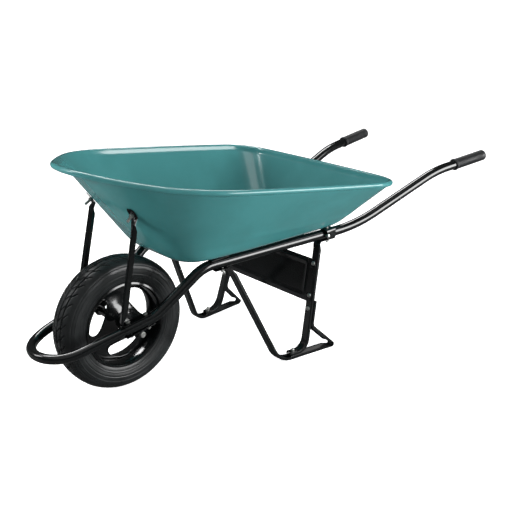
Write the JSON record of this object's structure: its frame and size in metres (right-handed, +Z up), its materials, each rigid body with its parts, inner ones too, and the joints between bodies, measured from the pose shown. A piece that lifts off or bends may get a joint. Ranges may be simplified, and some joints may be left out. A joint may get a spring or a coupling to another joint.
{
  "type": "wheelbarrow",
  "caption": "Wheelbarrow with a deep pressed tray, tubular handles and bumper loop, braced channel legs and a pneumatic wheel that turns on its axle.",
  "frame": {"origin": "on the ground, under the centre of the object's bounding box", "axes": "+X from the wheel towards the handles, +Y to the operator's right, +Z up"},
  "size_m": [1.5106, 0.6932, 0.6214],
  "materials": {
    "tray_enamel": "gloss enamel",
    "frame_enamel": "gloss black enamel",
    "tyre_rubber": "satin rubber",
    "zinc": "zinc plated",
    "grip_plastic": "matte"
  },
  "bodies": {
    "frame": {"axle": "zinc", "axle_bracket_left": "frame_enamel", "axle_bracket_right": "frame_enamel", "axle_nut_left": "frame_enamel", "axle_nut_right": "frame_enamel", "axle_spacer_left": "frame_enamel", "axle_spacer_right": "frame_enamel", "brace_bolt_left": "zinc", "brace_bolt_right": "zinc", "bracket_bolt_front_left": "zinc", "bracket_bolt_front_right": "zinc", "bracket_bolt_rear_left": "zinc", "bracket_bolt_rear_right": "zinc", "bumper_tube": "frame_enamel", "cross_member_front": "frame_enamel", "cross_member_rear": "frame_enamel", "foot_bolt_left": "zinc", "foot_bolt_right": "zinc", "grip_left": "grip_plastic", "grip_right": "grip_plastic", "handle_tube_left": "frame_enamel", "handle_tube_right": "frame_enamel", "junction_bolt_left": "zinc", "junction_bolt_right": "zinc", "leg_panel": "frame_enamel", "leg_strut_left": "frame_enamel", "leg_strut_right": "frame_enamel", "panel_bolt_high_left": "zinc", "panel_bolt_high_right": "zinc", "panel_bolt_low_left": "zinc", "panel_bolt_low_right": "zinc", "rear_leg_left": "frame_enamel", "rear_leg_right": "frame_enamel", "side_bolt_left": "zinc", "side_bolt_right": "zinc", "tray": "tray_enamel", "tray_bolt_front_left": "zinc", "tray_bolt_front_right": "zinc", "tray_bolt_rear_left": "zinc", "tray_bolt_rear_right": "zinc", "tray_brace_left": "frame_enamel", "tray_brace_right": "frame_enamel"},
    "wheel": {"bearing_left": "zinc", "bearing_right": "zinc", "tyre": "tyre_rubber", "wheel_disc": "frame_enamel", "wheel_hub": "frame_enamel", "wheel_rim": "frame_enamel"}
  },
  "joints": [
    {"name": "wheel_spin", "type": "hinge", "parent": "frame", "child": "wheel", "pos_m": [-0.4992, 0, 0.183], "axis": [0, 1, 0], "continuous": true}
  ]
}
